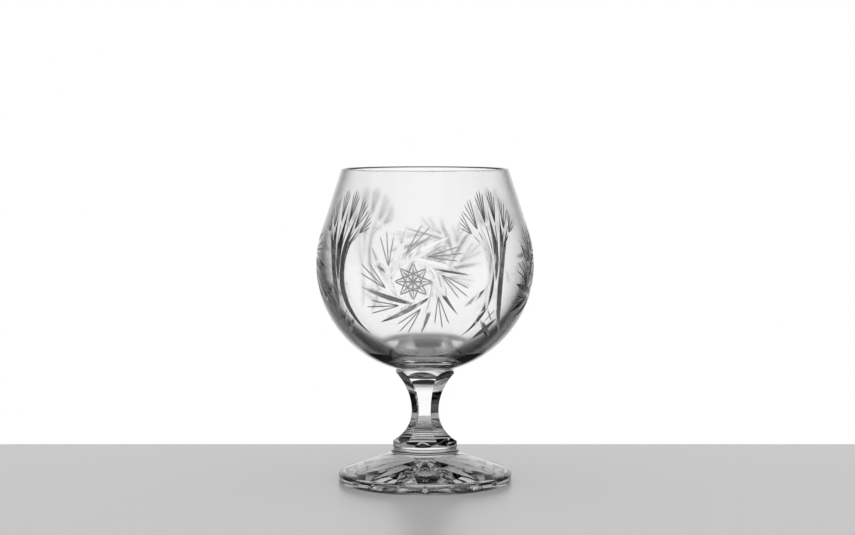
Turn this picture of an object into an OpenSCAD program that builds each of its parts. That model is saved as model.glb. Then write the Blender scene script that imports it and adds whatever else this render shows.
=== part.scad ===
// Brandy snifter of cut crystal: a blown bowl on a panel-cut stem, a ring and a star-cut foot.
// Millimetres, the table is at height zero and the axis of the glass is Z. The front is -Y.

/* [Bowl] */
// Height of the rim above the table
glass_h = 130; // [126:0.5:136]
// Outside diameter of the bowl where it is widest
bowl_d = 90; // [86:0.5:94]
// Height of the widest part above the table
belly_h = 90.5; // [88:0.5:94]
// Outside diameter of the rim
rim_d = 69.4; // [64:0.2:74]
// Thickness of the glass at the rim
rim_wall = 1.7; // [1.5:0.1:2.2]
// Thickness of the glass at the widest part
belly_wall = 2.6; // [2.4:0.1:3.2]
// Height of the middle of the inner ball above the outer one's, which thickens the wall downwards
inner_rise = 3.5; // [2.5:0.1:4.5]
// Thickness of the glass under the drink, on the axis
base_wall = 9.6; // [8:0.2:11]
// Radius of the low dome under the drink
dome_r = 45; // [40:1:60]
// Radius of the hollow that runs from that dome into the wall
hollow_r = 18; // [16:0.5:20]

/* [Stem] */
// Diameter of the stem where the bowl sits on it
stem_top_d = 24.2; // [22:0.2:27]
// Width of the stem across two opposite corners at the waist
waist_w = 11.2; // [9.6:0.2:12.4]
// Height of the waist above the table
waist_h = 29; // [27:0.5:31]
// Number of panels cut round the stem
panel_count = 6; // [5:1:8]
// Band of round glass left between the bowl and the top of each panel
top_band = 0.3; // [0.2:0.1:1]
// Diameter of the pad at the bottom of the stem
pad_d = 26.6; // [25:0.2:28]
// Band of round glass left between the ring and the bottom of each panel
pad_band = 2; // [1.6:0.1:2.6]
// Rounding of the pad's lower edge
pad_round = 0.8; // [0.4:0.1:1.2]

/* [Ring] */
// Outside diameter of the ring between stem and foot
ring_d = 28.4; // [27.6:0.2:31]
// Thickness of the ring, whose edge is half round
ring_h = 1.8; // [1.4:0.1:2.4]

/* [Foot] */
// Diameter of the foot
foot_d = 72; // [66:1:80]
// Height of the foot where the ring sits on it
foot_h = 11.8; // [10:0.2:13]
// Height to which the slope of the foot comes down at its edge
foot_edge_h = 3.8; // [3.2:0.1:5]
// Rounding of the foot's upper edge
foot_round = 2; // [1:0.1:2.4]
// Rounding of the foot's lower edge
foot_ease = 0.5; // [0.3:0.1:0.8]
// Width of the flat ring that the glass rests on
rest_w = 2.6; // [1.6:0.1:3.4]
// Depth of the hollow under the foot
hollow_depth = 0.5; // [0.3:0.1:1]
// Number of leaves in the star under the foot
leaf_count = 16; // [12:1:18]
// Distance of the tips of the leaves from the axis
leaf_reach = 28.5; // [26:0.5:30]
// Distance of the widest place of a leaf from the axis
leaf_middle = 14.5; // [12:0.5:17]
// Depth of a leaf there
leaf_depth = 1.7; // [1.2:0.1:2.2]
// Radius of the polished hollow in the middle of the star
hub_r = 4; // [3:0.5:6]
// Depth of that hollow, more than the leaves that run into it
hub_depth = 2.3; // [2.3:0.1:3]
// Angle between the two sides of a leaf
leaf_angle = 118; // [105:1:130]

/* [Cuts in the bowl] */
// Number of pinwheels round the bowl, with a sheaf between each two
motif_count = 4; // [3:1:4]
// Angle between the two sides of a cut
cut_angle = 110; // [100:1:120]
// Length of a vane of the pinwheel, out from the place where it passes nearest the middle
vane_length = 21; // [18:0.5:22]
// Length of the vane's other end, which runs into its neighbour
vane_lead = 5; // [3:0.5:6]
// Depth of a vane in the middle
vane_depth = 1.1; // [0.8:0.05:1.2]
// Distance of the vanes from the middle of the pinwheel
vane_ring = 8.6; // [7.5:0.1:9.5]
// Distance of the points of the pinwheel's star from its middle
star_r = 7.6; // [7:0.1:8]
// Depth of the lines of the star
star_depth = 0.3; // [0.2:0.05:0.4]
// Depth of the long curved cuts of the sheaf
stalk_depth = 1.1; // [0.8:0.05:1.2]
// Depth of the straight blades of the sheaf, of its cross and of its side leaf
blade_depth = 0.9; // [0.6:0.05:1.1]

/* [Hidden] */
$fn = 96;

// How far a cutting shape runs past what it cuts
overrun = 1;
// Turn of the pattern and the panels: a pinwheel faces the front, a little to its left
front_turn = -6;
// Distance of the pinwheels' middle below the widest part of the bowl
pinwheel_drop = 3.8;

bowl_r = bowl_d / 2;
stem_top_r = stem_top_d / 2;
pad_r = pad_d / 2;
ring_r = ring_d / 2;
foot_r = foot_d / 2;
// The ball of the bowl ends in a flat seat as wide as the top of the stem
seat_h = belly_h - sqrt(bowl_r * bowl_r - stem_top_r * stem_top_r);
ring_top = foot_h + ring_h;
inner_r = bowl_r - belly_wall;
inner_h = belly_h + inner_rise;
// The hollow round the dome under the drink touches the dome from outside and the inner ball from inside
dome_h = seat_h + base_wall - dome_r;
hollow_lift = (pow(dome_r + hollow_r, 2) - pow(inner_r - hollow_r, 2) + pow(inner_h - dome_h, 2))
    / (2 * (inner_h - dome_h));
hollow_middle = [sqrt(pow(dome_r + hollow_r, 2) - pow(hollow_lift, 2)), dome_h + hollow_lift];
// The rim is melted round: its section is a circle that both walls run into as tangents
rim_round = rim_wall / 2;
rim_middle = [rim_d / 2 - rim_round, glass_h - rim_round];

// Radius of the circle that touches an upright line and has moved aside by drift after a length
function wheel_radius(drift, length) = (drift * drift + length * length) / (2 * drift);

// Above its widest part a wall follows its ball and then runs straight to the rim. Where the rim is too low
// for that, a smaller circle takes the ball's place. The side is 1 for the outer wall and -1 for the inner.
shoulder_share = 0.9;
function shoulder_r(ball_r, ball_h, side) = min(ball_r,
    shoulder_share * wheel_radius(ball_r - rim_middle.x - side * rim_round, rim_middle.y - ball_h));
function wall_lift(ball_r, ball_h, side) =
    let (r = shoulder_r(ball_r, ball_h, side), reach = rim_middle - [ball_r - r, ball_h])
    atan2(reach.y, reach.x) - acos((r - side * rim_round) / norm(reach));

// Half of a ball with its straight wall and what lies inside them, as a profile to be turned
module ball_and_wall(ball_r, ball_h, side, top_h) {
    r = shoulder_r(ball_r, ball_h, side);
    lift = wall_lift(ball_r, ball_h, side);
    turn = [cos(lift), sin(lift)];
    wall_start = [ball_r - r, ball_h] + r * turn;
    intersection() {
        translate([0, ball_h])
            circle(r = ball_r);
        translate([0, ball_h - ball_r])
            square([ball_r, ball_r + (r < ball_r ? 0 : r * turn.y)]);
    }
    if (r < ball_r)
        intersection() {
            translate([ball_r - r, ball_h])
                circle(r = r);
            translate([0, ball_h])
                square([ball_r, r * turn.y]);
        }
    polygon([[0, ball_h - ball_r / 2], wall_start, rim_middle + side * rim_round * turn, rim_middle,
        [rim_middle.x, top_h], [0, top_h]]);
}

// The room for the drink: the inner ball down to the place where the hollow touches it, then the hollow, and
// the dome in the middle
module drink_room() {
    top_h = glass_h + overrun;
    out = hollow_middle - [0, inner_h];
    touch = [0, inner_h] + inner_r * out / norm(out);
    intersection() {
        ball_and_wall(inner_r, inner_h, -1, top_h);
        polygon([[0, inner_h], touch, [bowl_r, touch.y], [bowl_r, top_h], [0, top_h]]);
    }
    difference() {
        union() {
            translate(hollow_middle)
                circle(r = hollow_r);
            polygon([[0, inner_h + hollow_r / 2], [hollow_middle.x, inner_h], hollow_middle, [0, dome_h]]);
        }
        translate([0, dome_h])
            circle(r = dome_r);
    }
}

// Points on the outside of the bowl. A place is a length to the right and a length upwards from the
// widest part, both along the surface, and the azimuth is that of its motif.
shoulder = shoulder_r(bowl_r, belly_h, 1);
outer_lift = wall_lift(bowl_r, belly_h, 1);
cone_start = shoulder * outer_lift * PI / 180;
function round_r(s) = s > 0 ? shoulder : bowl_r;
function wall_turn(s) = min(s, cone_start) / round_r(s) * 180 / PI;
function wall_r(s) = bowl_r - round_r(s) * (1 - cos(wall_turn(s))) - max(0, s - cone_start) * sin(outer_lift);
function wall_h(s) = belly_h + round_r(s) * sin(wall_turn(s)) + max(0, s - cone_start) * cos(outer_lift);
function wall_azimuth(azimuth, place) = azimuth + front_turn + place.x / wall_r(place.y) * 180 / PI;
function wall_point(azimuth, place) =
    let (turn = wall_azimuth(azimuth, place), r = wall_r(place.y))
    [r * sin(turn), -r * cos(turn), wall_h(place.y)];
function wall_normal(azimuth, place) =
    let (turn = wall_azimuth(azimuth, place), lift = wall_turn(place.y))
    [cos(lift) * sin(turn), -cos(lift) * cos(turn), sin(lift)];

function unit(v) = v / norm(v);
function polar(radius, angle) = [radius * cos(angle), radius * sin(angle)];

// A V-shaped cut along a circle that starts and ends on the surface and is depth deep in its middle
module wheel_cut(azimuth, from, to, depth, bow = 0) {
    along = unit(to - from);
    middle = (from + to) / 2 + bow * [along.y, -along.x];
    a = wall_point(azimuth, from);
    b = wall_point(azimuth, to);
    out = wall_normal(azimuth, middle);
    chord = b - a;
    to_deepest = wall_point(azimuth, middle) - depth * out - (a + b) / 2;
    rise_vector = to_deepest - (to_deepest * unit(chord)) * unit(chord);
    rise = norm(rise_vector);
    radius = (norm(chord) * norm(chord) / 4 + rise * rise) / (2 * rise);
    x = unit(rise_vector);
    w = unit(cross(x, chord));
    centre = (a + b) / 2 + rise_vector - radius * x;
    y = cross(w, x);
    reach = depth + 2 * overrun;
    open = [out * x, out * w];
    left = reach / cos(cut_angle / 2) * [open.x * cos(cut_angle / 2) - open.y * sin(cut_angle / 2),
        open.x * sin(cut_angle / 2) + open.y * cos(cut_angle / 2)];
    right = reach / cos(cut_angle / 2) * [open.x * cos(cut_angle / 2) + open.y * sin(cut_angle / 2),
        -open.x * sin(cut_angle / 2) + open.y * cos(cut_angle / 2)];
    sweep = asin(norm(chord) / 2 / radius) + overrun / radius * 180 / PI;
    multmatrix([[x.x, y.x, w.x, centre.x], [x.y, y.y, w.y, centre.y], [x.z, y.z, w.z, centre.z]])
        rotate_extrude(start = -sweep, angle = 2 * sweep)
            polygon([[radius, 0], [radius, 0] + left, [radius, 0] + right]);
}

// Eight vanes round the star of a pinwheel, each along a tangent of one circle, and the rays of the star
vane_count = 8;
vane_turn = 29;
module pinwheel_cuts(azimuth) {
    middle = [0, -pinwheel_drop];
    for (k = [0 : vane_count - 1]) {
        angle = vane_turn + k * 360 / vane_count;
        nearest = middle + polar(vane_ring, angle);
        wheel_cut(azimuth, nearest - polar(vane_lead, angle - 90), nearest + polar(vane_length, angle - 90),
            vane_depth);
    }
    for (k = [0 : vane_count / 2 - 1]) {
        ray = polar(star_r, k * 360 / vane_count);
        wheel_cut(azimuth, middle + ray, middle - ray, star_depth);
    }
}

// A sheaf: two long stalks that bow towards each other, three blades between them, a cross below and a leaf on
// its left.
// Its places are shares of the way to the next pinwheel, and of the wall's length up to the rim or down
// to the stem.
sheaf_top_share = [0.345, 0.49];
sheaf_foot_share = [0.289, -0.484];
sheaf_waist_share = 0.068;
blade_tip_shares = [[-0.181, 0.6], [0.006, 0.737], [0.181, 0.6]];
blade_root_shares = [[-0.04, -0.082], [0, -0.082], [0.04, -0.082]];
cross_top_share = [0.119, -0.351];
cross_foot_share = [-0.13, -0.518];
side_root_share = [-0.147, -0.125];
side_tip_share = [-0.376, -0.245];

motif_gap = PI * bowl_r / motif_count;
wall_up = cone_start + norm(rim_middle + rim_round * [cos(outer_lift), sin(outer_lift)]
    - [wall_r(cone_start), wall_h(cone_start)]);
wall_down = bowl_r * acos(stem_top_r / bowl_r) * PI / 180;
function sheaf_place(share, side = 1) =
    [side * share.x * motif_gap, share.y * (share.y > 0 ? wall_up : wall_down)];

module sheaf_cuts(azimuth) {
    for (side = [-1, 1]) {
        top = sheaf_place(sheaf_top_share, side);
        bottom = sheaf_place(sheaf_foot_share, side);
        bow = (top.x + bottom.x) / 2 - side * sheaf_waist_share * motif_gap;
        wheel_cut(azimuth, top, bottom, stalk_depth, bow);
        wheel_cut(azimuth, sheaf_place(cross_top_share, side), sheaf_place(cross_foot_share, side),
            blade_depth);
    }
    wheel_cut(azimuth, sheaf_place(side_root_share), sheaf_place(side_tip_share), blade_depth);
    for (i = [0 : len(blade_tip_shares) - 1])
        wheel_cut(azimuth, sheaf_place(blade_root_shares[i]), sheaf_place(blade_tip_shares[i]), blade_depth);
}

// Blown bowl, open at the rim, with its cut pattern
module bowl() {
    color([0.86, 0.88, 0.9, 0.5])
    difference() {
        rotate_extrude() {
            difference() {
                ball_and_wall(bowl_r, belly_h, 1, rim_middle.y + rim_round / 2);
                square([bowl_r, seat_h]);
                drink_room();
            }
            translate(rim_middle)
                circle(r = rim_round);
        }
        for (k = [0 : motif_count - 1]) {
            pinwheel_cuts(k * 360 / motif_count);
            sheaf_cuts((k + 0.5) * 360 / motif_count);
        }
    }
}

// What the wheel takes off for one panel: hollow along the stem and straight across it
waist_flat = waist_w / 2 * cos(180 / panel_count);
module panel_profile() {
    upper = wheel_radius(stem_top_r - waist_flat, seat_h - top_band - waist_h);
    lower = wheel_radius(pad_r - waist_flat, waist_h - ring_top - pad_band);
    intersection() {
        translate([waist_flat + upper, waist_h])
            circle(r = upper);
        translate([0, waist_h])
            square(upper);
    }
    intersection() {
        translate([waist_flat + lower, waist_h])
            circle(r = lower);
        translate([0, waist_h - lower])
            square(lower);
    }
}

// Stem with hollow panels that meet in sharp corners, and the pad below them
module stem() {
    color([0.8, 0.83, 0.86, 0.6])
    difference() {
        rotate_extrude() {
            translate([0, waist_h])
                square([stem_top_r, seat_h - waist_h]);
            translate([0, ring_top + pad_round])
                square([pad_r, waist_h - ring_top - pad_round]);
            translate([0, ring_top])
                square([pad_r - pad_round, pad_round]);
            translate([pad_r - pad_round, ring_top + pad_round])
                circle(r = pad_round);
        }
        for (k = [0 : panel_count - 1])
            rotate(front_turn - 90 + k * 360 / panel_count)
                rotate([90, 0, 0])
                    linear_extrude(2 * pad_d, center = true)
                        panel_profile();
    }
}

// Ring between the stem and the foot, with a half-round edge
module ring() {
    color([0.83, 0.86, 0.88, 0.6])
    rotate_extrude() {
        translate([0, foot_h])
            square([ring_r - ring_h / 2, ring_h]);
        translate([ring_r - ring_h / 2, foot_h + ring_h / 2])
            circle(r = ring_h / 2);
    }
}

// Outline of the foot: a flat seat for the ring, a slope, a rounded edge and a flat bottom
module foot_profile() {
    seat_r = ring_r - ring_h / 2;
    slope = (foot_h - foot_edge_h) / (foot_r - seat_r);
    tilt = atan(slope);
    corner = [foot_r - foot_round, foot_edge_h + slope * foot_round - foot_round / cos(tilt)];
    touch = corner + foot_round * [sin(tilt), cos(tilt)];
    polygon([[0, 0], [foot_r - foot_ease, 0], [foot_r - foot_ease, foot_ease], [foot_r, foot_ease],
        [foot_r, corner.y], corner, touch, [seat_r, foot_h], [0, foot_h]]);
    translate(corner)
        circle(r = foot_round);
    translate([foot_r - foot_ease, foot_ease])
        circle(r = foot_ease);
}

// A straight V-shaped groove along X whose bottom is at the origin
module groove(length, depth) {
    side = depth + overrun;
    rotate([90, 0, 90])
        linear_extrude(length, center = true)
            polygon([[0, 0], [side * tan(leaf_angle / 2), -side], [-side * tan(leaf_angle / 2), -side]]);
}

// One leaf of the star: level as far as its widest place, then rising to its tip
module leaf_cut() {
    fall = atan(leaf_depth / (leaf_reach - leaf_middle));
    translate([leaf_reach / 2 + hub_r / 2, 0, hollow_depth])
        intersection() {
            translate([0, 0, leaf_depth])
                groove(leaf_reach, leaf_depth);
            translate([leaf_middle - leaf_reach / 2 - hub_r / 2, 0, leaf_depth])
                rotate([0, fall, 0])
                    groove(2 * leaf_reach, leaf_depth + leaf_reach * tan(fall));
        }
}

// Foot, hollowed a little underneath so that it rests on a ring, with the star cut into the hollow
module foot() {
    rest_r = foot_r - foot_ease - rest_w;
    color([0.8, 0.83, 0.86, 0.6])
    difference() {
        rotate_extrude()
            foot_profile();
        translate([0, 0, -overrun])
            cylinder(h = overrun + hollow_depth, r1 = rest_r + overrun, r2 = rest_r - hollow_depth);
        for (k = [0 : leaf_count - 1])
            rotate(-90 + k * 360 / leaf_count)
                leaf_cut();
        translate([0, 0, -overrun])
            cylinder(h = overrun + hollow_depth + hub_depth, r = hub_r);
    }
}

bowl();
stem();
ring();
foot();
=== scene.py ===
# Brandy snifter of cut crystal: a blown bowl on a panel-cut stem, a ring and a star-cut foot.
# Lengths are millimetres until a mesh is made, angles are degrees, the front is -Y.
import math
import bpy
import numpy as np
from mathutils import Matrix, Vector


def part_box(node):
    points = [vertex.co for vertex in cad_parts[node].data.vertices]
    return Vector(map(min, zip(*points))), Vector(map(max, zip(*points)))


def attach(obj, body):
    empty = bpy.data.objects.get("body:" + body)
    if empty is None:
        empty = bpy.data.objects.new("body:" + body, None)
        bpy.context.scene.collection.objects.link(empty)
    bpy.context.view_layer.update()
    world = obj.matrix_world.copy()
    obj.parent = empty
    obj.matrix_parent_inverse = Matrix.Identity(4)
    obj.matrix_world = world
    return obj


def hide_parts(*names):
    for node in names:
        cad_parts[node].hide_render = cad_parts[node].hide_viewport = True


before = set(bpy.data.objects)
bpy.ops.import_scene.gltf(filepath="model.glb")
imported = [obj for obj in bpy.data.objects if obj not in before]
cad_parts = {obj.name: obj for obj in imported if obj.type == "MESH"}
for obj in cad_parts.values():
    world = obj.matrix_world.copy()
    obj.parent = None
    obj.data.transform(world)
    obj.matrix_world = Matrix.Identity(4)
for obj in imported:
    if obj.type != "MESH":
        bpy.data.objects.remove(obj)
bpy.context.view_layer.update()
MM = 0.001

bowl_low, bowl_high = (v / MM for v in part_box("bowl"))
stem_low, stem_high = (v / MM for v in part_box("stem"))
ring_low, ring_high = (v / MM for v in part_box("ring"))
_, foot_high = (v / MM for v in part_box("foot"))

# Bowl
bowl_r = 45.0
belly_h = 90.5
glass_h = bowl_high.z
seat_h = bowl_low.z
rim_r = 34.7
rim_wall = 1.7
belly_wall = 2.6
inner_rise = 3.5
base_wall = 9.6
dome_r = 45.0
hollow_r = 18.0

# Stem
stem_top_r = 12.1
waist_corner = 5.6
waist_h = 29.0
panel_count = 6
top_band = 0.3
pad_r = stem_high.x
pad_band = 2.0
pad_round = 0.8
ring_top = stem_low.z

# Ring and foot
ring_r = ring_high.x
ring_h = ring_high.z - ring_low.z
foot_h = foot_high.z
foot_r = foot_high.x
foot_edge_h = 3.8
foot_round = 2.0
foot_ease = 0.5
rest_w = 2.6
hollow_depth = 0.5
leaf_count = 16
leaf_reach = 28.5
leaf_depth = 1.7
leaf_angle = 118.0
hub_r = 4.0
hub_depth = 2.3

# Pattern
front_turn = -6.0
pinwheel_drop = 3.8
motif_count = 4
cut_angle = 110.0
overrun = 1.0

# Steps of the meshes
turn_steps = 360
foot_turn_steps = 480
hub_turn_steps = 96
side_steps = 4
belly_steps = 120
wall_steps = 20
rim_steps = 24
inner_wall_steps = 16
inner_steps = 80
base_steps = 36
pad_round_steps = 12
bead_steps = 24
ease_steps = 8
edge_steps = 20
slope_steps = 30
panel_places = 40
leaf_places = 25
cut_step = 1.0
least_steps = 4

# An edge that turns by more than this is sharp
sharp_angle = 20.0
right_angle = 90.0

# Slack of the sums: the first two are lengths, the others are angles in radians
tiny = 1e-9
axis_reach = 1e-6
wrap_slack = 1e-4
end_slack = 1e-3

# Material slots of every glass piece, in this order
CRYSTAL, INNER, CUT, GROUND, SEAM = range(5)
TURNED = (CRYSTAL, INNER, SEAM)


def unit(v):
    return v / np.linalg.norm(v)


def facing(azimuth):
    """Unit vectors that point out at an azimuth and to the right across it."""
    a = math.radians(azimuth)
    return np.array([math.sin(a), -math.cos(a), 0.0]), np.array([math.cos(a), math.sin(a), 0.0])


def wall_lift(ball_r, ball_h, side):
    """Elevation at which a straight wall leaves its ball for the round rim: side 1 outside, -1 inside."""
    reach = rim_middle - np.array([0, ball_h])
    return math.atan2(reach[1], reach[0]) - math.acos((ball_r - side * rim_round) / np.linalg.norm(reach))


class Arc:
    """Part of a profile: a circle round (r, z) between two angles in radians, solid inside it (sense 1) or outside."""

    def __init__(self, r, z, radius, start, end, steps, sense=1, slot=CRYSTAL):
        self.c = np.array([r, z])
        self.radius = radius
        self.sense = sense
        self.slot = slot
        self.angles = np.linspace(start, end, steps + 1)

    def points(self):
        return self.c + self.radius * np.stack([np.cos(self.angles), np.sin(self.angles)], 1)

    def distance(self, p):
        d = p - self.c
        low, high = sorted((self.angles[0], self.angles[-1]))
        a = np.arctan2(d[:, 1], d[:, 0])
        a = np.where(a < low - wrap_slack, a + 2 * np.pi, a)
        a = np.where(a > high + wrap_slack, a - 2 * np.pi, a)
        inside = (a >= low - end_slack) & (a <= high + end_slack)
        ends = np.min([np.linalg.norm(p - e, axis=1) for e in self.points()[[0, -1]]], axis=0)
        return np.where(inside, np.abs(np.linalg.norm(d, axis=1) - self.radius), ends)

    def normals(self, p):
        d = p - self.c
        return self.sense * d / np.maximum(np.linalg.norm(d, axis=1), tiny)[:, None]


class Line:
    """Part of a profile: a straight wall between two points, with the glass on its left."""

    def __init__(self, a, b, steps=1, slot=CRYSTAL):
        self.a = np.array(a, float)
        self.b = np.array(b, float)
        self.steps = steps
        self.slot = slot

    def points(self):
        t = np.linspace(0, 1, self.steps + 1)[:, None]
        return self.a + t * (self.b - self.a)

    def distance(self, p):
        d = self.b - self.a
        t = np.clip((p - self.a) @ d / (d @ d), 0, 1)
        return np.linalg.norm(p - self.a - t[:, None] * d, axis=1)

    def normals(self, p):
        d = unit(self.b - self.a)
        return np.tile([d[1], -d[0]], (len(p), 1))


def revolve(parts, segments):
    """Vertices, faces and slots of a closed profile turned round the axis, from the axis back to the axis."""
    profile, slots = [], []
    for part in parts:
        pts = part.points()
        profile.extend(pts[:-1])
        slots.extend([part.slot] * (len(pts) - 1))
    profile.append(parts[-1].points()[-1])
    profile = np.array(profile)
    turn = np.linspace(0, 2 * np.pi, segments, endpoint=False)
    rings = profile[1:-1]
    verts = [(0, 0, profile[0][1])]
    ring = np.stack([np.sin(turn), -np.cos(turn)], 1)
    for r, z in rings:
        verts.extend((r * x, r * y, z) for x, y in ring)
    verts.append((0, 0, profile[-1][1]))
    faces, face_slots = [], []
    n = segments
    for k in range(n):
        m = (k + 1) % n
        faces.append((0, 1 + m, 1 + k))
        face_slots.append(slots[0])
    for i in range(len(rings) - 1):
        a, b = 1 + i * n, 1 + (i + 1) * n
        for k in range(n):
            m = (k + 1) % n
            faces.append((a + k, a + m, b + m, b + k))
            face_slots.append(slots[i + 1])
    last = 1 + (len(rings) - 1) * n
    for k in range(n):
        m = (k + 1) % n
        faces.append((last + k, last + m, len(verts) - 1))
        face_slots.append(slots[-1])
    return verts, faces, face_slots


def sweep_section(centre, x, w, angles, section):
    """A closed section of (radius, offset) points swept about the axis w, starting from the direction x."""
    y = np.cross(w, x)
    verts, faces = [], []
    n = len(section)
    for a in angles:
        out = math.cos(a) * x + math.sin(a) * y
        verts.extend(centre + r * out + h * w for r, h in section)
    for i in range(len(angles) - 1):
        for k in range(n):
            m = (k + 1) % n
            faces.append((i * n + k, i * n + m, (i + 1) * n + m, (i + 1) * n + k))
    faces.append(tuple(range(n))[::-1])
    faces.append(tuple((len(angles) - 1) * n + k for k in range(n)))
    return verts, faces


def make_mesh(name, verts, faces, slots, materials):
    mesh = bpy.data.meshes.new(name)
    mesh.from_pydata([tuple(float(c) for c in v) for v in verts], [], faces)
    for m in materials:
        mesh.materials.append(m)
    mesh.polygons.foreach_set("material_index", slots)
    mesh.update()
    obj = bpy.data.objects.new(name, mesh)
    bpy.context.scene.collection.objects.link(obj)
    return obj


def signed_volume(verts, faces):
    v = np.array(verts, float)
    total = 0.0
    for f in faces:
        for i in range(1, len(f) - 1):
            total += np.dot(v[f[0]], np.cross(v[f[i]], v[f[i + 1]]))
    return total / 6


class Cutters:
    """Closed shapes to take off, kept in layers whose shapes do not touch each other."""

    def __init__(self):
        self.layers = {}

    def add(self, layer, verts, faces, slot):
        if signed_volume(verts, faces) < 0:
            faces = [tuple(reversed(f)) for f in faces]
        v, f, s = self.layers.setdefault(layer, ([], [], []))
        base = len(v)
        v.extend(verts)
        f.extend(tuple(base + k for k in face) for face in faces)
        s.extend([slot] * len(faces))

    def carve(self, obj, materials):
        for layer in sorted(self.layers):
            verts, faces, slots = self.layers[layer]
            tool = make_mesh("tool", verts, faces, slots, materials)
            mod = obj.modifiers.new("cut", "BOOLEAN")
            mod.operation = "DIFFERENCE"
            mod.solver = "MANIFOLD"
            mod.object = tool
            graph = bpy.context.evaluated_depsgraph_get()
            carved = bpy.data.meshes.new_from_object(obj.evaluated_get(graph))
            obj.modifiers.remove(mod)
            old = obj.data
            obj.data = carved
            bpy.data.meshes.remove(old)
            tool_mesh = tool.data
            bpy.data.objects.remove(tool)
            bpy.data.meshes.remove(tool_mesh)


def set_normals(obj, parts):
    """True normals on the turned surfaces, and smooth ones along each cut but not across its edges."""
    mesh = obj.data
    count = len(mesh.loops)
    co = np.empty(len(mesh.vertices) * 3)
    mesh.vertices.foreach_get("co", co)
    co = co.reshape(-1, 3)
    loop_vertex = np.empty(count, int)
    mesh.loops.foreach_get("vertex_index", loop_vertex)
    slot = np.empty(len(mesh.polygons), int)
    mesh.polygons.foreach_get("material_index", slot)
    sizes = np.empty(len(mesh.polygons), int)
    mesh.polygons.foreach_get("loop_total", sizes)
    centre = np.empty(len(mesh.polygons) * 3)
    mesh.polygons.foreach_get("center", centre)
    centre = centre.reshape(-1, 3)
    mesh.polygons.foreach_set("use_smooth", [True] * len(mesh.polygons))
    mesh.set_sharp_from_angle(angle=math.radians(sharp_angle))
    normals = np.empty(count * 3)
    mesh.corner_normals.foreach_get("vector", normals)
    normals = normals.reshape(-1, 3)
    flat = np.stack([np.hypot(centre[:, 0], centre[:, 1]), centre[:, 2]], 1)
    near = np.argmin([part.distance(flat) for part in parts], axis=0)
    loop_face = np.repeat(np.arange(len(sizes)), sizes)
    turned = np.isin(slot[loop_face], TURNED)
    for i, part in enumerate(parts):
        pick = turned & (near[loop_face] == i)
        if not pick.any():
            continue
        p = co[loop_vertex[pick]]
        c = centre[loop_face[pick]]
        r = np.hypot(p[:, 0], p[:, 1])
        n = part.normals(np.stack([r, p[:, 2]], 1))
        side = np.where(r[:, None] > axis_reach, p[:, :2], c[:, :2])
        side = side / np.maximum(np.linalg.norm(side, axis=1), tiny)[:, None]
        normals[pick] = np.column_stack([n[:, :1] * side, n[:, 1]])
    normals /= np.maximum(np.linalg.norm(normals, axis=1), tiny)[:, None]
    mesh.normals_split_custom_set(normals.tolist())


def finish_piece(obj, node):
    obj.data.transform(Matrix.Scale(MM, 4))
    obj.data.update()
    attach(obj, "root")
    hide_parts(node)
    return obj


# The outside of the bowl is a ball and then a straight wall. So is the inside, down to a hollow round a low dome.
rim_round = rim_wall / 2
rim_middle = np.array([rim_r - rim_round, glass_h - rim_round])
inner_r = bowl_r - belly_wall
inner_h = belly_h + inner_rise
outer_lift = wall_lift(bowl_r, belly_h, 1)
inner_lift = wall_lift(inner_r, inner_h, -1)
cone_start = bowl_r * outer_lift
dome_h = seat_h + base_wall - dome_r
hollow_far = dome_r + hollow_r
inner_far = inner_r - hollow_r
centres_gap = inner_h - dome_h
hollow_lift = (hollow_far ** 2 - inner_far ** 2 + centres_gap ** 2) / (2 * centres_gap)
hollow_middle = np.array([math.sqrt(hollow_far ** 2 - hollow_lift ** 2), dome_h + hollow_lift])


def wall(azimuth, place):
    """Point and normal on the bowl, at a place (to the right, up from the widest part) along the surface."""
    turn = min(place[1], cone_start) / bowl_r
    past = max(0.0, place[1] - cone_start)
    r = bowl_r * math.cos(turn) - past * math.sin(turn)
    z = belly_h + bowl_r * math.sin(turn) + past * math.cos(turn)
    a = math.radians(azimuth + front_turn) + place[0] / r
    side = np.array([math.sin(a), -math.cos(a), 0.0])
    return side * r + np.array([0, 0, z]), side * math.cos(turn) + np.array([0, 0, math.sin(turn)])


def wheel_cut(azimuth, start, end, depth, bow=0.0, angle=cut_angle):
    """A V-shaped cut along a circle that starts and ends on the surface and is depth deep in its middle."""
    start, end = np.array(start, float), np.array(end, float)
    along = unit(end - start)
    middle = (start + end) / 2 + bow * np.array([along[1], -along[0]])
    a, _ = wall(azimuth, start)
    b, _ = wall(azimuth, end)
    m, out = wall(azimuth, middle)
    chord = b - a
    rise_vector = m - depth * out - (a + b) / 2
    rise_vector = rise_vector - (rise_vector @ unit(chord)) * unit(chord)
    rise = np.linalg.norm(rise_vector)
    half = np.linalg.norm(chord) / 2
    radius = (half * half + rise * rise) / (2 * rise)
    x = rise_vector / rise
    w = unit(np.cross(x, chord))
    centre = (a + b) / 2 + rise_vector - radius * x
    reach = (depth + overrun) / math.cos(math.radians(angle / 2))
    tilt = math.atan2(out @ w, out @ x)
    sides = [tilt - math.radians(angle / 2), tilt + math.radians(angle / 2)]
    section = [(radius, 0.0)] + [(radius + reach * math.cos(t), reach * math.sin(t)) for t in sides]
    sweep = math.asin(min(1.0, half / radius)) + overrun / radius
    steps = max(least_steps, round(2 * half / cut_step))
    return sweep_section(centre, x, w, np.linspace(-sweep, sweep, steps + 1), section)


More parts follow.
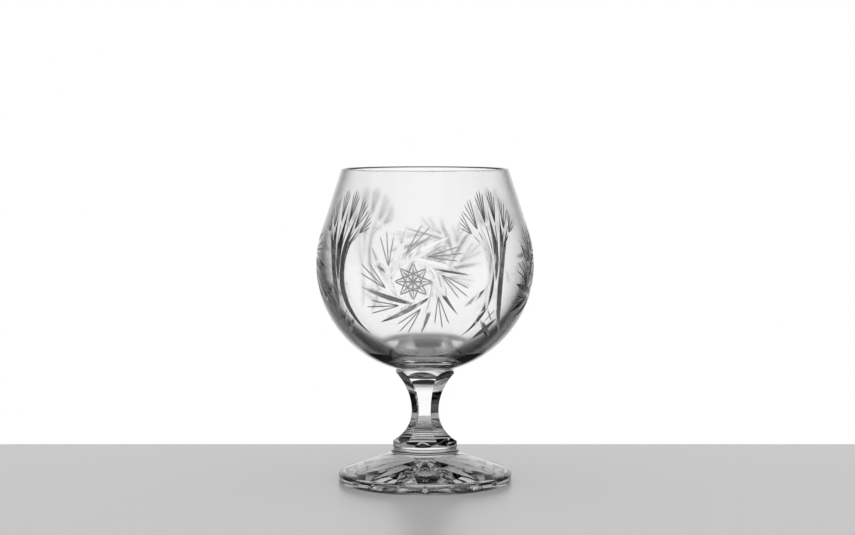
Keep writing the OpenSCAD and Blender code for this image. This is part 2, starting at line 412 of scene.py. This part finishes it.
def fine_line(azimuth, start, end, depth, taper):
    """A fine V-shaped line that follows the surface, as deep all along but for its two ends."""
    start, end = np.array(start, float), np.array(end, float)
    length = np.linalg.norm(end - start)
    steps = max(least_steps, round(length / cut_step))
    slope = math.tan(math.radians(fine_angle / 2))
    verts, faces = [], []
    for t in np.linspace(0, 1, steps + 1):
        p, out = wall(azimuth, start + t * (end - start))
        ahead, _ = wall(azimuth, start + (t + look_ahead) * (end - start))
        aside = unit(np.cross(out, ahead - p))
        deep = depth * min(1.0, min(t, 1 - t) * length / taper) - fine_lift * (t in (0.0, 1.0))
        top = p + 2 * fine_lift * out
        half = (deep + 2 * fine_lift) * slope
        verts.extend([p - deep * out, top + half * aside, top - half * aside])
    for i in range(steps):
        for k in range(3):
            m = (k + 1) % 3
            faces.append((3 * i + k, 3 * i + m, 3 * i + 3 + m, 3 * i + 3 + k))
    faces.append((2, 1, 0))
    faces.append((3 * steps, 3 * steps + 1, 3 * steps + 2))
    return verts, faces


def polar(radius, angle):
    return np.array([radius * math.cos(math.radians(angle)), radius * math.sin(math.radians(angle))])


# Fine ground lines
fine_depth = 0.27
fine_angle = 80.0
fine_taper = 1.8
short_taper = 0.8
fine_lift = 0.05
look_ahead = 0.01

# Pinwheel: an eight-pointed star with rays, eight polished vanes and eight fans of three fine lines
vane_count = 8
star_skip = 3
vane_turn = 29.0
vane_ring = 8.6
vane_length = 21.0
vane_lead = 5.0
vane_depth = 1.1
star_r = 7.6
star_depth = 0.3
ray_angle = 100.0
fan_ring = 11.3
fan_turn = 15.6
fan_skew = -56.0
fan_spread = (-13.0, 0.0, 13.0)
fan_length = (13.0, 15.0, 13.5)


def pinwheel(cutters, azimuth):
    middle = np.array([0, -pinwheel_drop])
    for k in range(vane_count):
        turn = k * 360 / vane_count
        nearest = middle + polar(vane_ring, vane_turn + turn)
        along = polar(1.0, vane_turn + turn - right_angle)
        cut = wheel_cut(azimuth, nearest - vane_lead * along, nearest + vane_length * along, vane_depth)
        cutters.add(("a_vane", k), *cut, CUT)
        root = middle + polar(fan_ring, fan_turn + turn)
        for i, (spread, length) in enumerate(zip(fan_spread, fan_length)):
            tip = root + polar(length, fan_turn + turn + fan_skew + spread)
            cutters.add(("c_fan", i), *fine_line(azimuth, root, tip, fine_depth, fine_taper), GROUND)
        a = middle + polar(star_r, turn)
        b = middle + polar(star_r, turn + star_skip * 360 / vane_count)
        cutters.add(("d_star", k), *fine_line(azimuth, a, b, star_depth, short_taper), GROUND)
    for k in range(vane_count // 2):
        ray = polar(star_r, k * 360 / vane_count)
        cut = wheel_cut(azimuth, middle + ray, middle - ray, star_depth, angle=ray_angle)
        cutters.add(("e_ray", k), *cut, GROUND)


# Sheaf: two stalks that bow towards each other, three blades, two crosses below, a leaf on the left, and fine lines
# between the stalks and in fans above. Its places are shares of the way to the next pinwheel, and of the wall's
# length up to the rim or down to the stem.
sheaf_top_share = (0.345, 0.49)
sheaf_foot_share = (0.289, -0.484)
sheaf_waist_share = 0.068
stalk_depth = 1.1
blade_depth = 0.9
blade_tip_shares = ((-0.181, 0.6), (0.006, 0.737), (0.181, 0.6))
blade_root_shares = ((-0.04, -0.082), (0.0, -0.082), (0.04, -0.082))
cross_top_share = (0.119, -0.351)
cross_foot_share = (-0.13, -0.518)
side_root_share = (-0.147, -0.125)
side_tip_share = (-0.376, -0.245)
small_cross_shares = ((0.055, -0.28), (-0.055, -0.37))
sheaf_fan_shares = (
    ((0.071, 0.465), ((0.03, 0.79), (0.068, 0.825), (0.108, 0.81), (0.145, 0.76))),
    ((0.19, 0.403), ((0.215, 0.735), (0.257, 0.72), (0.3, 0.68), (0.34, 0.612))),
    ((0.27, 0.36), ((0.36, 0.6), (0.39, 0.56), (0.41, 0.5), (0.42, 0.44))),
)
sheaf_line_shares = (
    ((0.02, 0.03), (0.071, 0.465)),
    ((0.055, 0.08), (0.19, 0.403)),
    ((0.077, 0.15), (0.27, 0.36)),
)

motif_gap = math.pi * bowl_r / motif_count
wall_up = cone_start + np.linalg.norm(
    rim_middle + (rim_round - bowl_r) * polar(1.0, math.degrees(outer_lift)) - np.array([0, belly_h]))
wall_down = bowl_r * math.acos(stem_top_r / bowl_r)


def sheaf_place(share, side=1):
    return np.array([side * share[0] * motif_gap, share[1] * (wall_up if share[1] > 0 else wall_down)])


def sheaf(cutters, azimuth):
    for n, side in enumerate((-1, 1)):
        top, foot = sheaf_place(sheaf_top_share, side), sheaf_place(sheaf_foot_share, side)
        bow = (top[0] + foot[0]) / 2 - side * sheaf_waist_share * motif_gap
        cutters.add(("a_vane", vane_count + n), *wheel_cut(azimuth, top, foot, stalk_depth, bow=bow), CUT)
        cross = sheaf_place(cross_top_share, side), sheaf_place(cross_foot_share, side)
        cutters.add(("b_cross", n), *wheel_cut(azimuth, *cross, blade_depth), CUT)
        small = [sheaf_place(share, side) for share in small_cross_shares]
        cutters.add(("f_small", n), *fine_line(azimuth, *small, fine_depth, short_taper), GROUND)
        for group, (root, tips) in enumerate(sheaf_fan_shares):
            root = sheaf_place(root, side)
            for i, tip in enumerate(tips):
                cut = fine_line(azimuth, root, sheaf_place(tip, side), fine_depth, fine_taper)
                cutters.add(("g_sheaf_fan", i, n, group), *cut, GROUND)
        for i, shares in enumerate(sheaf_line_shares):
            cut = fine_line(azimuth, *(sheaf_place(share, side) for share in shares), fine_depth, fine_taper)
            cutters.add(("h_sheaf_line", i), *cut, GROUND)
    leaf = sheaf_place(side_root_share), sheaf_place(side_tip_share)
    cutters.add(("b_leaf", 0), *wheel_cut(azimuth, *leaf, blade_depth), CUT)
    for i, (root, tip) in enumerate(zip(blade_root_shares, blade_tip_shares)):
        blade = sheaf_place(root), sheaf_place(tip)
        cutters.add(("b_blade", i), *wheel_cut(azimuth, *blade, blade_depth), CUT)


def make_bowl(materials):
    outer = np.array([math.cos(outer_lift), math.sin(outer_lift)])
    inner = np.array([math.cos(inner_lift), math.sin(inner_lift)])
    seat_turn = math.asin((seat_h - belly_h) / bowl_r)
    to_wall = math.atan2(hollow_middle[1] - inner_h, hollow_middle[0])
    to_dome = math.atan2(-hollow_lift, -hollow_middle[0])
    parts = [
        Line((0, seat_h), (stem_top_r, seat_h), slot=SEAM),
        Arc(0, belly_h, bowl_r, seat_turn, outer_lift, belly_steps),
        Line(bowl_r * outer + [0, belly_h], rim_middle + rim_round * outer, wall_steps),
        Arc(*rim_middle, rim_round, outer_lift, math.pi + inner_lift, rim_steps),
        Line(rim_middle - rim_round * inner, inner_r * inner + [0, inner_h], inner_wall_steps, slot=INNER),
        Arc(0, inner_h, inner_r, inner_lift, to_wall, inner_steps, sense=-1, slot=INNER),
        Arc(*hollow_middle, hollow_r, to_wall, to_dome, base_steps, sense=-1),
        Arc(0, dome_h, dome_r, to_dome + math.pi, math.pi / 2, base_steps),
    ]
    verts, faces, slots = revolve(parts, turn_steps)
    bowl = make_mesh("bowl_cut_crystal", verts, faces, slots, materials)
    cutters = Cutters()
    for k in range(motif_count):
        pinwheel(cutters, k * 360 / motif_count)
        sheaf(cutters, (k + 0.5) * 360 / motif_count)
    cutters.carve(bowl, materials)
    set_normals(bowl, parts)
    return finish_piece(bowl, "bowl")


def wheel_radius(drift, length):
    """Radius of a circle that drifts so far from its tangent over a length."""
    return (drift * drift + length * length) / (2 * drift)


def make_stem(materials):
    flat = waist_corner * math.cos(math.pi / panel_count)
    upper = wheel_radius(stem_top_r - flat, seat_h - top_band - waist_h)
    lower = wheel_radius(pad_r - flat, waist_h - ring_top - pad_band)
    parts = [
        Line((0, ring_top), (pad_r - pad_round, ring_top), slot=SEAM),
        Arc(pad_r - pad_round, ring_top + pad_round, pad_round, -math.pi / 2, 0, pad_round_steps),
        Line((pad_r, ring_top + pad_round), (pad_r, waist_h), side_steps),
        Line((pad_r, waist_h), (stem_top_r, waist_h)),
        Line((stem_top_r, waist_h), (stem_top_r, seat_h), side_steps),
        Line((stem_top_r, seat_h), (0, seat_h), slot=SEAM),
    ]
    verts, faces, slots = revolve(parts, turn_steps)
    stem = make_mesh("stem_panel_cut", verts, faces, slots, materials)
    reach_up = math.asin(min(1.0, (seat_h + overrun - waist_h) / upper))
    reach_down = math.asin(min(1.0, (waist_h - ring_top) / lower))
    outline = [(flat + upper - upper * math.cos(a), waist_h + upper * math.sin(a))
               for a in np.linspace(reach_up, 0, panel_places)]
    outline += [(flat + lower - lower * math.cos(a), waist_h - lower * math.sin(a))
                for a in np.linspace(0, reach_down, panel_places)[1:]]
    outline += [(2 * pad_r, outline[-1][1]), (2 * pad_r, outline[0][1])]
    n = len(outline)
    cutters = Cutters()
    for k in range(panel_count):
        out, across = facing(front_turn + k * 360 / panel_count)
        verts = [r * out + np.array([0, 0, z]) + side * pad_r * across
                 for side in (-1, 1) for r, z in outline]
        faces = [(i, (i + 1) % n, n + (i + 1) % n, n + i) for i in range(n)]
        faces += [tuple(range(n))[::-1], tuple(range(n, 2 * n))]
        cutters.add(("panel", k), verts, faces, CUT)
    cutters.carve(stem, materials)
    set_normals(stem, parts)
    return finish_piece(stem, "stem")


def make_ring(materials):
    bead = ring_h / 2
    seat_r = ring_r - bead
    parts = [
        Line((0, foot_h), (seat_r, foot_h), slot=SEAM),
        Arc(seat_r, foot_h + bead, bead, -math.pi / 2, math.pi / 2, bead_steps),
        Line((seat_r, ring_top), (pad_r - pad_round, ring_top)),
        Line((pad_r - pad_round, ring_top), (0, ring_top), slot=SEAM),
    ]
    verts, faces, slots = revolve(parts, turn_steps)
    ring = make_mesh("ring_crystal", verts, faces, slots, materials)
    set_normals(ring, parts)
    return finish_piece(ring, "ring")


def make_foot(materials):
    seat_r = ring_r - ring_h / 2
    slope = (foot_h - foot_edge_h) / (foot_r - seat_r)
    tilt = math.atan(slope)
    corner = np.array([foot_r - foot_round, foot_edge_h + slope * foot_round - foot_round / math.cos(tilt)])
    touch = corner + foot_round * np.array([math.sin(tilt), math.cos(tilt)])
    rest_r = foot_r - foot_ease - rest_w
    parts = [
        Line((0, hollow_depth), (rest_r - hollow_depth, hollow_depth)),
        Line((rest_r - hollow_depth, hollow_depth), (rest_r, 0)),
        Line((rest_r, 0), (foot_r - foot_ease, 0)),
        Arc(foot_r - foot_ease, foot_ease, foot_ease, -math.pi / 2, 0, ease_steps),
        Line((foot_r, foot_ease), (foot_r, corner[1])),
        Arc(corner[0], corner[1], foot_round, 0, math.pi / 2 - tilt, edge_steps),
        Line(touch, (seat_r, foot_h), slope_steps),
        Line((seat_r, foot_h), (0, foot_h), slot=SEAM),
    ]
    verts, faces, slots = revolve(parts, foot_turn_steps)
    foot = make_mesh("foot_star_cut", verts, faces, slots, materials)
    cutters = Cutters()
    half = leaf_reach / 2
    wheel = wheel_radius(leaf_depth, half)
    side = leaf_depth + overrun
    spread = side * math.tan(math.radians(leaf_angle / 2))
    section = [(wheel, 0.0), (wheel - side, spread), (wheel - side, -spread)]
    sweep = math.asin(half / wheel) + overrun / wheel
    angles = np.linspace(-math.asin((half - hub_r + overrun) / wheel), sweep, leaf_places)
    up = np.array([0.0, 0.0, 1.0])
    for k in range(leaf_count):
        out, across = facing(k * 360 / leaf_count)
        centre = out * half + np.array([0, 0, hollow_depth + leaf_depth - wheel])
        cutters.add(("leaf", k % 2, k // 2), *sweep_section(centre, up, across, angles, section), CUT)
    hub_top = hollow_depth + hub_depth
    hub = [Line((0, -overrun), (hub_r, -overrun)), Line((hub_r, -overrun), (hub_r, hub_top)),
           Line((hub_r, hub_top), (0, hub_top))]
    verts, faces, _ = revolve(hub, hub_turn_steps)
    cutters.add(("hub", 0), verts, faces, CUT)
    cutters.carve(foot, materials)
    set_normals(foot, parts)
    return finish_piece(foot, "foot")


# Glass
crystal_ior = 1.545
inner_roughness = 0.12
ground_roughness = 0.6
# The ground lines' roughness is their real frosted finish; their grey tone is painted shade that darkens them
ground_painted_shade_tone = 0.25


def new_material(name):
    material = bpy.data.materials.new(name)
    material.use_nodes = True
    return material, material.node_tree.nodes["Principled BSDF"]


def crystal_material(name, roughness=0.0, tone=1.0):
    material, shader = new_material(name)
    shader.inputs["Base Color"].default_value = (tone, tone, tone, 1)
    shader.inputs["Transmission Weight"].default_value = 1.0
    shader.inputs["Roughness"].default_value = roughness
    shader.inputs["IOR"].default_value = crystal_ior
    return material


def seam_material():
    """Where two gathers are melted to each other there is no surface to see."""
    material, shader = new_material("melted_seam")
    shader.inputs["Alpha"].default_value = 0.0
    return material


materials = [crystal_material("polished_crystal"), crystal_material("inner_crystal", inner_roughness),
             crystal_material("cut_crystal"), crystal_material("ground_lines_painted_shade", ground_roughness, ground_painted_shade_tone),
             seam_material()]
make_bowl(materials)
make_stem(materials)
make_ring(materials)
make_foot(materials)

# Table: one grey to the camera, and at least that grey through a single wall. Otherwise the glass shows it with
# painted light in front and where it is close, a painted pool of light that stands in for light coming through the
# glass, and nearly black painted shade elsewhere.
table_edge = 94.0
table_r = 6000.0
table_tone = 0.5
table_roughness = 0.3
# Painted light in front of the glass and close under it, and painted shade behind it, seen only through the glass
front_painted_light_tone = 1.0
front_painted_light_fade = (-15.0, 30.0)
under_painted_light_tone = 0.9
under_painted_light_fade = (15.0, 30.0)
behind_painted_shade_tone = 0.02

# Limits between whole numbers of crossings, reflections and such along a ray's way
once = 0.5
twice = 1.5
solid_crossings = 2.5


def combined(tree, operation, a, b):
    """A Math node of two sockets or numbers."""
    node = tree.nodes.new("ShaderNodeMath")
    node.operation = operation
    for socket, value in zip(node.inputs, (a, b)):
        if isinstance(value, bpy.types.NodeSocket):
            tree.links.new(value, socket)
        else:
            socket.default_value = value
    return node.outputs["Value"]


def faded(tree, value, start, end, before, after):
    """A value that goes smoothly from before to after while the given one goes from start to end."""
    node = tree.nodes.new("ShaderNodeMapRange")
    node.interpolation_type = "SMOOTHSTEP"
    tree.links.new(value, node.inputs["Value"])
    for name, number in (("From Min", start), ("From Max", end), ("To Min", before), ("To Max", after)):
        node.inputs[name].default_value = number
    return node.outputs["Result"]


def straight_tone(tree, light):
    """The table's tone for a ray that comes through one wall without a reflection, and 0 for the others."""
    crossed = combined(tree, "LESS_THAN", light["Transmission Depth"], solid_crossings)
    straight = combined(tree, "LESS_THAN", light["Glossy Depth"], once)
    return combined(tree, "MULTIPLY", combined(tree, "MULTIPLY", crossed, straight), table_tone)


def make_table():
    low, high = -table_r, table_r
    verts = [(low, low, 0), (high, low, 0), (high, table_edge, 0), (low, table_edge, 0)]
    material, shader = new_material("table_grey_painted_light_and_shade")
    tree = material.node_tree
    light = tree.nodes.new("ShaderNodeLightPath").outputs
    direct = light["Is Camera Ray"]
    along = tree.nodes.new("ShaderNodeSeparateXYZ")
    tree.links.new(tree.nodes.new("ShaderNodeNewGeometry").outputs["Position"], along.inputs[0])
    # Seen through the glass: a painted pool of light close under it by ray length, painted shade elsewhere, painted
    # light in front
    under = faded(tree, light["Ray Length"], under_painted_light_fade[0] * MM, under_painted_light_fade[1] * MM, under_painted_light_tone, 0.0)
    under = combined(tree, "MULTIPLY", under, combined(tree, "LESS_THAN", light["Transparent Depth"], once))
    under = combined(tree, "MAXIMUM", under, behind_painted_shade_tone)
    under = combined(tree, "MAXIMUM", under, straight_tone(tree, light))
    front = faded(tree, along.outputs["Y"], front_painted_light_fade[0] * MM, front_painted_light_fade[1] * MM, front_painted_light_tone, 0.0)
    painted_tone_in_glass = combined(tree, "MAXIMUM", under, front)
    painted_tone_in_glass = combined(tree, "MULTIPLY", painted_tone_in_glass, combined(tree, "SUBTRACT", 1, direct))
    tone = combined(tree, "ADD", painted_tone_in_glass, combined(tree, "MULTIPLY", direct, table_tone))
    tree.links.new(tone, shader.inputs["Base Color"])
    shader.inputs["Roughness"].default_value = table_roughness
    table = make_mesh("table", verts, [(0, 1, 2, 3)], [0], [material])
    table.data.transform(Matrix.Scale(MM, 4))


make_table()

# Light: a white room with a dark ceiling and floor, by elevation, but for a grey floor through a single wall. A ray
# with few crossings also shows dark sides, by the turn from the front or back. The first two reflections inside the
# glass are weaker, as between dark boards.
ceiling_fade = (28.0, 45.0)
floor_fade = (-60.0, -45.0)
side_fade = (15.0, 45.0)
reflected_shares = (0.6, 0.5)


def make_world():
    world = bpy.data.worlds.new("studio")
    bpy.context.scene.world = world
    world.use_nodes = True
    tree = world.node_tree
    light = tree.nodes.new("ShaderNodeLightPath").outputs
    towards = tree.nodes.new("ShaderNodeSeparateXYZ")
    tree.links.new(tree.nodes.new("ShaderNodeTexCoord").outputs["Generated"], towards.inputs[0])
    height = towards.outputs["Z"]
    ceiling = faded(tree, height, *(math.sin(math.radians(a)) for a in ceiling_fade), 1.0, 0.0)
    floor = faded(tree, height, *(math.sin(math.radians(a)) for a in floor_fade), 0.0, 1.0)
    floor = combined(tree, "MAXIMUM", floor, straight_tone(tree, light))
    depth = combined(tree, "ABSOLUTE", towards.outputs["Y"], 0.0)
    sides = faded(tree, depth, *(math.cos(math.radians(a)) for a in reversed(side_fade)), 0.0, 1.0)
    crossings = light["Transmission Depth"]
    sides = combined(tree, "MAXIMUM", sides, combined(tree, "GREATER_THAN", crossings, solid_crossings))
    room = combined(tree, "MULTIPLY", combined(tree, "MULTIPLY", ceiling, floor), sides)
    reflections = light["Glossy Depth"]
    first = combined(tree, "MULTIPLY", combined(tree, "GREATER_THAN", reflections, once),
                     combined(tree, "GREATER_THAN", crossings, once))
    second = combined(tree, "GREATER_THAN", reflections, twice)
    for flag, share in zip((first, second), reflected_shares):
        weaker = combined(tree, "SUBTRACT", 1.0, combined(tree, "MULTIPLY", flag, 1.0 - share))
        room = combined(tree, "MULTIPLY", room, weaker)
    plain = combined(tree, "GREATER_THAN", light["Diffuse Depth"], once)
    plain = combined(tree, "MAXIMUM", light["Is Camera Ray"], plain)
    background = tree.nodes["Background"]
    background.inputs["Color"].default_value = (1, 1, 1, 1)
    tree.links.new(combined(tree, "MAXIMUM", room, plain), background.inputs["Strength"])


make_world()
bpy.context.scene.view_settings.view_transform = "Standard"

# Camera, fitted to the ellipses of the rim and the foot
camera_distance = 864.9
camera_height = 154.0
camera_pitch = 4.299
axis_offset = 1.0
focal_px = 2093.0
frame_px = 855.0
sensor_w = 36.0
most_bounces = 24
most_reflections = 16
camera_data = bpy.data.cameras.new("camera")
camera_data.sensor_width = sensor_w
camera_data.lens = focal_px / frame_px * sensor_w
camera = bpy.data.objects.new("camera", camera_data)
camera.location = Vector((axis_offset, -camera_distance, camera_height)) * MM
camera.rotation_euler = (math.radians(right_angle - camera_pitch), 0, 0)
bpy.context.scene.collection.objects.link(camera)
bpy.context.scene.camera = camera
cycles = bpy.context.scene.cycles
cycles.max_bounces = most_bounces
cycles.glossy_bounces = most_reflections
cycles.transmission_bounces = most_bounces
